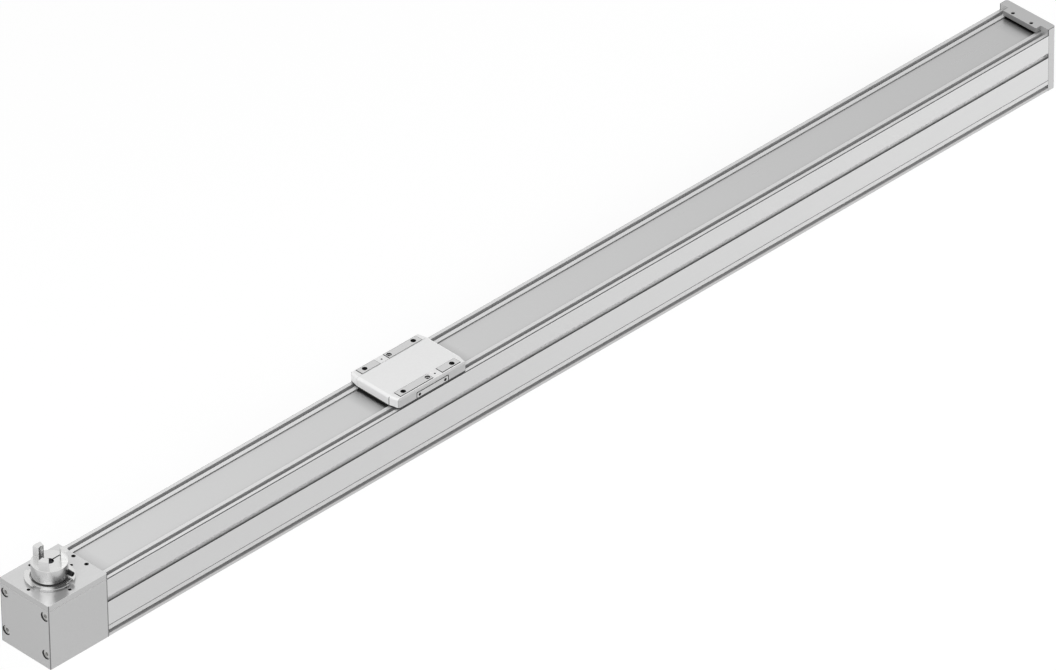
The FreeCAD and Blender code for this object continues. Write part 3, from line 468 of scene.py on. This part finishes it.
slide_shade = (SHADE, (
    # painted shade in the gap over the profile, in the joint beside the cover and in the pocket
    # behind the side plates
    {"z": SLIDE_GAP_Z},
    {"reach": COVER_JOINT_REACH, "y": COVER_JOINT_Y, "z": COVER_JOINT_Z},
    SIDE_PLATE_POCKET,
    # painted shade on the flanks of the pads, as outlines
    {"z": (SLIDE_TOP + SKIN, PAD_TOP - SKIN)},
    # painted shade in the threaded holes, the sleeve holes with their seats, and the grease holes
    bore(BOLT_X, BOLT_R, BORE_LOW, PAD_TOP - SKIN),
    bore(0.0, SLEEVE_BORE_R, BORE_LOW, SLEEVE_FLOOR),
    bore(0.0, SLEEVE_R, SLEEVE_LOW, PAD_TOP - SKIN),
    bore(LUBE_X, LUBE_R, BORE_LOW, SLIDE_TOP - SKIN),
    # painted shade outlining the side plates and the pads
    {
        "reach": round_a(SIDE_PLATE_X, LINE),
        "side": layer(FACE_Y, SIDE_PLATE_DEPTH),
        "z": SIDE_PLATE_EDGE_Z,
    },
    {
        "reach": (0.0, SIDE_PLATE_X),
        "side": layer(FACE_Y, SIDE_PLATE_DEPTH),
        "z": round_a(SIDE_PLATE_TOP, LINE),
    },
) + tuple({
    "run": (x0 - PAD_LINE, x1 + PAD_LINE),
    "y": (y0 - PAD_LINE, y1 + PAD_LINE),
    "z": round_a(SLIDE_TOP, SKIN),
} for (x0, x1), (y0, y1) in PADS))
slide_tones_and_painted_light = (
    # pads in their own darker tone, end slopes painted lighter as a highlight, and flanks and side
    # plates painted darker as shade
    (grey(0.70), ({"z": layer(PAD_TOP, SKIN)},)),
    (grey(0.98), ({"reach": SLOPE_REACH, "z": SLOPE_Z},)),
    (grey(0.54), ({"reach": FLANK_REACH, "side": layer(FACE_Y, FLANK_DEPTH), "z": FLANK_Z},)),
    (grey(0.64), ({
        "reach": (0.0, SIDE_PLATE_X),
        "side": layer(FACE_Y, SIDE_PLATE_DEPTH),
        "z": SIDE_PLATE_Z,
    },)),
    slide_shade,
)
hub_painted_light = (
    # painted highlight on the tops of the collar, the hub and the jaws
    (RIM, tuple({"z": round_a(top, RIM_HALF)} for top in RIM_TOPS)),
    # painted shade in the bore, the slit and the gap under the hub
    (SHADE, (
        hole(DRIVE_X, 0.0, HUB_BORE_R, HUB_TOP),
        {"x": HUB_SLIT_X, "side": HUB_SLIT_Y, "z": below(HUB_TOP)},
        {"z": HUB_GAP_Z},
    )),
)

# the profile's sides are painted paler towards the end cap, a painted gradient of light
profile_metal = metal(
    "profile_anodised", grey(0.66), rough=0.42, size=9.0, change=0.015, metallic=0.5,
    grain=(1, 60, 60), height=4e-6, marks=profile_painted_shading, drift=("x", SPAN_X, grey(0.72)))
slide_metal = metal(
    "slide_anodised", grey(0.87), rough=0.45, size=500.0, change=0.02, metallic=0.3,
    marks=slide_tones_and_painted_light, gloss=0.2)
cap_metal = metal(
    "cap_anodised", grey(0.58), rough=0.42, size=500.0, change=0.03, metallic=0.4, marks=cap_painted_shade)
head_metal = metal(
    "head_anodised", grey(0.545), rough=0.40, size=500.0, change=0.03, metallic=0.4,
    marks=head_painted_shade)
plate_metal = metal(
    "head_top_ground", grey(0.68), rough=0.20, size=12.0, change=0.02, metallic=0.6,
    grain=(8, 60, 60), height=4e-6, marks=plate_painted_shade)
# the hub and the collar are painted paler towards their tops, a painted gradient of light
hub_metal = metal(
    "hub_turned", grey(0.44), rough=0.22, size=6.0, change=0.03, metallic=0.92,
    grain=(40, 40, 600), height=4e-6, marks=hub_painted_light, drift=("z", HUB_DRIFT_Z, grey(0.64)))
# the strip is painted darker towards the end cap as a painted gradient of reflected light, and
# takes painted shade beside the slide
strip_metal = metal(
    "strip_rolled", grey(0.655), rough=0.32, size=10.0, change=0.01, metallic=1.0,
    grain=(1, 80, 80), height=2e-6, drift=("x", SPAN_X, grey(0.505)), contact=(18.0, 1.4))
steel = metal(
    "bearing_steel", (0.56, 0.57, 0.58), rough=0.25, size=700.0, change=0.05, metallic=1.0)
screw_steel = metal(
    "screw_steel", (0.55, 0.55, 0.54), rough=0.34, size=900.0, change=0.08, metallic=0.6)
# the plugs share the slide's painted shade in their holes
plug_steel = metal(
    "plug_bright", grey(0.86), rough=0.40, size=900.0, change=0.03, metallic=0.3,
    marks=(slide_shade,))
black_steel = metal(
    "black_steel", (0.014, 0.014, 0.0145), rough=0.50, size=900.0, change=0.2, metallic=0.2)
black_socket = metal(
    "black_socket", grey(0.006), rough=0.60, size=900.0, change=0.2, metallic=0.0, gloss=0.1)
rubber = matt("black_rubber", grey(0.012), 0.8)
plastic = matt("dark_plastic", (0.03, 0.03, 0.032), 0.55)

finish_of_slot = {
    "anodised_aluminium": profile_metal,
    "head_aluminium": head_metal,
    "hub_aluminium": hub_metal,
    "strip_steel": strip_metal,
    "bearing_steel": steel,
    "screw_steel": screw_steel,
    "black_steel": black_steel,
    "black_rubber": rubber,
    "dark_plastic": plastic,
}
finish_of_node = {
    "slide_body": slide_metal,
    "slide_cover": slide_metal,
    "side_plate_near": slide_metal,
    "side_plate_far": slide_metal,
    "side_plate_screws": black_socket,
    "end_cap": cap_metal,
    "flange_plate": plate_metal,
    "centring_collar": hub_metal,
    "lubrication_plugs": plug_steel,
}
for part in frame["record"]["subparts"]:
    finish = finish_of_node.get(part["node"], finish_of_slot[part["material_slot"]])
    mesh = nodes[part["node"]].data
    mesh.materials.clear()
    mesh.materials.append(finish)


# Rounding: the solids' flats shade as round faces, and their edges are broken a little

ROUND_ANGLE = math.radians(35)
FLAT_ANGLE = math.radians(0.5)
MERGE_DISTANCE = 0.000002


def round_faces():
    """Node group that joins the faces of a solid and shades all but its sharp edges smoothly."""
    group = bpy.data.node_groups.new("round_faces", "GeometryNodeTree")
    group.interface.new_socket("Geometry", in_out="INPUT", socket_type="NodeSocketGeometry")
    group.interface.new_socket("Geometry", in_out="OUTPUT", socket_type="NodeSocketGeometry")
    start = group.nodes.new("NodeGroupInput")
    end = group.nodes.new("NodeGroupOutput")
    merge = group.nodes.new("GeometryNodeMergeByDistance")
    merge.inputs["Distance"].default_value = MERGE_DISTANCE
    drop = group.nodes.new("GeometryNodeRemoveAttribute")
    drop.inputs["Name"].default_value = "custom_normal"
    faces = group.nodes.new("GeometryNodeSetShadeSmooth")
    faces.domain = "FACE"
    faces.inputs["Shade Smooth"].default_value = True
    angle = group.nodes.new("GeometryNodeInputMeshEdgeAngle")
    blunt = group.nodes.new("FunctionNodeCompare")
    blunt.data_type = "FLOAT"
    blunt.operation = "LESS_THAN"
    blunt.inputs[1].default_value = ROUND_ANGLE
    edges = group.nodes.new("GeometryNodeSetShadeSmooth")
    edges.domain = "EDGE"
    group.links.new(start.outputs[0], merge.inputs["Geometry"])
    group.links.new(merge.outputs[0], drop.inputs["Geometry"])
    group.links.new(drop.outputs[0], faces.inputs[0])
    group.links.new(angle.outputs["Unsigned Angle"], blunt.inputs[0])
    group.links.new(faces.outputs[0], edges.inputs[0])
    group.links.new(blunt.outputs[0], edges.inputs["Shade Smooth"])
    group.links.new(edges.outputs[0], end.inputs[0])
    return group


rounding = round_faces()
edge_break = {
    "slide_body": 0.35,
    "slide_cover": 0.35,
    "side_plate_near": 0.25,
    "side_plate_far": 0.25,
    "end_cap": 0.40,
    "drive_housing": 0.30,
    "flange_plate": 0.30,
    "centring_collar": 0.25,
    "coupling_hub": 0.25,
}


def refine(name, width):
    """Smooth shading, and a small break on the sharp edges where a width in mm is given."""
    node = nodes[name]
    smooth = node.modifiers.new("round_faces", "NODES")
    smooth.node_group = rounding
    if width:
        flat = node.modifiers.new("one_face", "DECIMATE")
        flat.decimate_type = "DISSOLVE"
        flat.angle_limit = FLAT_ANGLE
        chamfer = node.modifiers.new("edge_break", "BEVEL")
        chamfer.width = width * MM
        chamfer.segments = 2
        chamfer.limit_method = "ANGLE"
        chamfer.angle_limit = ROUND_ANGLE
        chamfer.harden_normals = True


for node_name in nodes:
    if node_name != "cover_strip":
        refine(node_name, edge_break.get(node_name, 0.0))


# Cover strip: two halves that meet over the slide's bridge. Each is flat from its clamp to the
# slide, with points only at its ends. Sizes in metres.

STRIP_W = 0.0369
STRIP_T = 0.0004
STRIP_Z = 0.0588
LIFT = 0.0068
LIFT_REACH = 0.042
LIFT_FLAT = 0.008
LIFT_RUN = LIFT_REACH - LIFT_FLAT
LIFT_R = (LIFT_RUN ** 2 + LIFT ** 2) / (4 * LIFT)
LIFT_ANGLE = math.asin(LIFT_RUN / (2 * LIFT_R))
LIFT_STEPS = 14


def strip_columns():
    """(distance from the slide's middle, height, slope angle), from the ramp's foot to its top."""
    columns = []
    for step in range(LIFT_STEPS + 1):
        angle = LIFT_ANGLE * step / LIFT_STEPS
        height = STRIP_Z + LIFT_R * (1 - math.cos(angle))
        columns.append((LIFT_REACH - LIFT_R * math.sin(angle), height, angle))
    for step in range(LIFT_STEPS - 1, -1, -1):
        angle = LIFT_ANGLE * step / LIFT_STEPS
        height = STRIP_Z + LIFT - LIFT_R * (1 - math.cos(angle))
        columns.append((LIFT_FLAT + LIFT_R * math.sin(angle), height, angle))
    columns.append((0.0, STRIP_Z + LIFT, 0.0))
    return columns


def strip_half(name, side, ends):
    """One half of the strip, of columns with four points each.

    side is -1 towards the head and +1 towards the end cap.
    ends are the ends of the clamped stretch, outermost first."""
    columns = [(x, STRIP_Z, 0.0) for x in ends]
    columns += [(X_REST + side * x, z, side * angle) for x, z, angle in strip_columns()]
    points = []
    for x, z, angle in columns:
        up = Vector((math.sin(angle), 0, math.cos(angle))) * STRIP_T
        for y, lift in ((-1, 0), (1, 0), (1, 1), (-1, 1)):
            points.append(Vector((x, y * STRIP_W / 2, z)) + up * lift)
    faces = [(0, 1, 2, 3)]
    for index in range(len(columns) - 1):
        a = 4 * index
        b = a + 4
        faces += [(a + i, b + i, b + (i + 1) % 4, a + (i + 1) % 4) for i in range(4)]
    last = 4 * (len(columns) - 1)
    faces.append((last + 3, last + 2, last + 1, last))
    mesh = bpy.data.meshes.new(name)
    mesh.from_pydata(points, [], faces if side < 0 else [tuple(reversed(face)) for face in faces])
    mesh.update()
    piece = bpy.data.objects.new(name, mesh)
    scene.collection.objects.link(piece)
    mesh.materials.append(strip_metal)
    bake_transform(piece)
    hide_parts("cover_strip")


strip_half("strip_towards_head", -1, (X_JOINT - 0.009, X_JOINT))
strip_half("strip_towards_cap", 1, (X_CAP + 0.0045, X_CAP - 0.006))


# Stage: floor, world, lamps and camera

WHITE = (1, 1, 1, 1)
FLOOR_HALF = 60.0
FLOOR_GAP = 0.0002
FLOOR_BOUNCE = 0.5
FLOOR_SHADED = 0.2
FLOOR_GLOW = 0.84
SKY = 0.5
# directions to the studio's two sides, and the cosines between which each fades in
BRIGHT_SIDE = (-0.721, -0.367, 0.588)
BRIGHT_EDGE = (0.80, 0.95)
BRIGHT_TONE = grey(2.4)
DARK_SIDE = (0.359, -0.736, 0.574)
DARK_EDGE = (0.5, 0.7)
DARK_TONE = grey(0.02)
# a glossy depth over this is the reflection of a reflection
ONE_REFLECTION = 1.5


def seen_rays(tree):
    """1 for what is seen directly, mirrored or through glass, 0 for light that falls on things."""
    path = tree.nodes.new("ShaderNodeLightPath")
    seen = maths(tree, "MAXIMUM", path.outputs["Is Camera Ray"], path.outputs["Is Glossy Ray"])
    return maths(tree, "MAXIMUM", seen, path.outputs["Is Transmission Ray"])


def floor_material():
    """Pale floor: white to the eye, with the object's shadow on it."""
    material = bpy.data.materials.new("floor")
    material.use_nodes = True
    tree = material.node_tree
    tree.nodes.clear()
    output = tree.nodes.new("ShaderNodeOutputMaterial")
    pale = tree.nodes.new("ShaderNodeBsdfDiffuse")
    pale.inputs["Color"].default_value = grey(FLOOR_BOUNCE) + (1,)
    shaded = tree.nodes.new("ShaderNodeBsdfDiffuse")
    shaded.inputs["Color"].default_value = grey(FLOOR_SHADED) + (1,)
    glow = tree.nodes.new("ShaderNodeEmission")
    glow.inputs["Color"].default_value = WHITE
    glow.inputs["Strength"].default_value = FLOOR_GLOW
    both = tree.nodes.new("ShaderNodeAddShader")
    link(tree, shaded.outputs[0], both.inputs[0])
    link(tree, glow.outputs[0], both.inputs[1])
    mix = tree.nodes.new("ShaderNodeMixShader")
    link(tree, seen_rays(tree), mix.inputs["Fac"])
    link(tree, pale.outputs[0], mix.inputs[1])
    link(tree, both.outputs[0], mix.inputs[2])
    link(tree, mix.outputs[0], output.inputs["Surface"])
    return material


def floor():
    half = FLOOR_HALF
    z = cad_low.z - FLOOR_GAP
    mesh = bpy.data.meshes.new("floor")
    corners = [(-half, -half, z), (half, -half, z), (half, half, z), (-half, half, z)]
    mesh.from_pydata(corners, [], [(0, 1, 2, 3)])
    mesh.materials.append(floor_material())
    plane = bpy.data.objects.new("floor", mesh)
    scene.collection.objects.link(plane)


def studio_side(tree, direction, edge):
    """1 towards one side of the studio, but only in the reflection of a reflection.

    In this way the sides show on the turned metal, and flat faces mirror plain white."""
    way = tree.nodes.new("ShaderNodeTexCoord")
    near = tree.nodes.new("ShaderNodeVectorMath")
    near.operation = "DOT_PRODUCT"
    near.inputs[1].default_value = direction
    link(tree, way.outputs["Generated"], near.inputs[0])
    path = tree.nodes.new("ShaderNodeLightPath")
    twice = maths(tree, "GREATER_THAN", path.outputs["Glossy Depth"], ONE_REFLECTION)
    return maths(tree, "MULTIPLY", mapped(tree, near.outputs["Value"], *edge), twice)


def world():
    """Even studio light, white to the eye and in reflections, with a bright and a dark side."""
    sky = bpy.data.worlds.new("studio")
    sky.use_nodes = True
    scene.world = sky
    tree = sky.node_tree
    tree.nodes.clear()
    output = tree.nodes.new("ShaderNodeOutputWorld")
    light = tree.nodes.new("ShaderNodeBackground")
    light.inputs["Color"].default_value = WHITE
    light.inputs["Strength"].default_value = SKY
    seen = tree.nodes.new("ShaderNodeBackground")
    sides = mixed(tree, studio_side(tree, DARK_SIDE, DARK_EDGE), grey(1.0), DARK_TONE)
    sides = mixed(tree, studio_side(tree, BRIGHT_SIDE, BRIGHT_EDGE), sides, BRIGHT_TONE)
    link(tree, sides, seen.inputs["Color"])
    seen.inputs["Strength"].default_value = 1.0
    mix = tree.nodes.new("ShaderNodeMixShader")
    link(tree, seen_rays(tree), mix.inputs["Fac"])
    link(tree, light.outputs[0], mix.inputs[1])
    link(tree, seen.outputs[0], mix.inputs[2])
    link(tree, mix.outputs[0], output.inputs["Surface"])


def lamp(name, place, aim, size, power):
    """Round soft lamp that isn't mirrored in the metal."""
    data = bpy.data.lights.new(name, "AREA")
    data.shape = "DISK"
    data.size = size
    data.energy = power
    light = bpy.data.objects.new(name, data)
    light.location = place
    light.rotation_mode = "QUATERNION"
    light.rotation_quaternion = (Vector(aim) - Vector(place)).to_track_quat("-Z", "Y")
    light.visible_camera = False
    light.visible_glossy = False
    scene.collection.objects.link(light)


def camera():
    """The photograph's view: a long lens, from the head's end, above the near side."""
    azimuth = math.radians(-44.053)
    elevation = math.radians(35.397)
    roll = math.radians(-0.731)
    aim = Vector((-0.01817, 0.0, 0.03149))
    distance = 11.7151
    focal_px = 13544.9
    image_w = 1056
    back = Vector((math.sin(azimuth) * math.cos(elevation),
                   -math.cos(azimuth) * math.cos(elevation),
                   math.sin(elevation)))
    right = (-back).cross(Vector((0, 0, 1))).normalized()
    up = right.cross(-back)
    right, up = (math.cos(roll) * right + math.sin(roll) * up,
                 math.cos(roll) * up - math.sin(roll) * right)
    data = bpy.data.cameras.new("camera")
    data.sensor_fit = "HORIZONTAL"
    data.sensor_width = 36.0
    data.lens = data.sensor_width * focal_px / image_w
    data.clip_start = 0.1
    data.clip_end = 200.0
    eye = bpy.data.objects.new("camera", data)
    scene.collection.objects.link(eye)
    turn = Matrix((right, up, back)).transposed().to_4x4()
    eye.matrix_world = Matrix.Translation(aim + back * distance) @ turn
    scene.camera = eye


floor()
world()
lamp("key", place=(-2.4, -1.1, 2.0), aim=(-0.3, 0.0, 0.0), size=2.6, power=46.0)
lamp("fill", place=(1.3, -1.5, 0.8), aim=(0.6, 0.0, 0.03), size=1.2, power=17.0)
camera()

scene.view_settings.view_transform = "Standard"
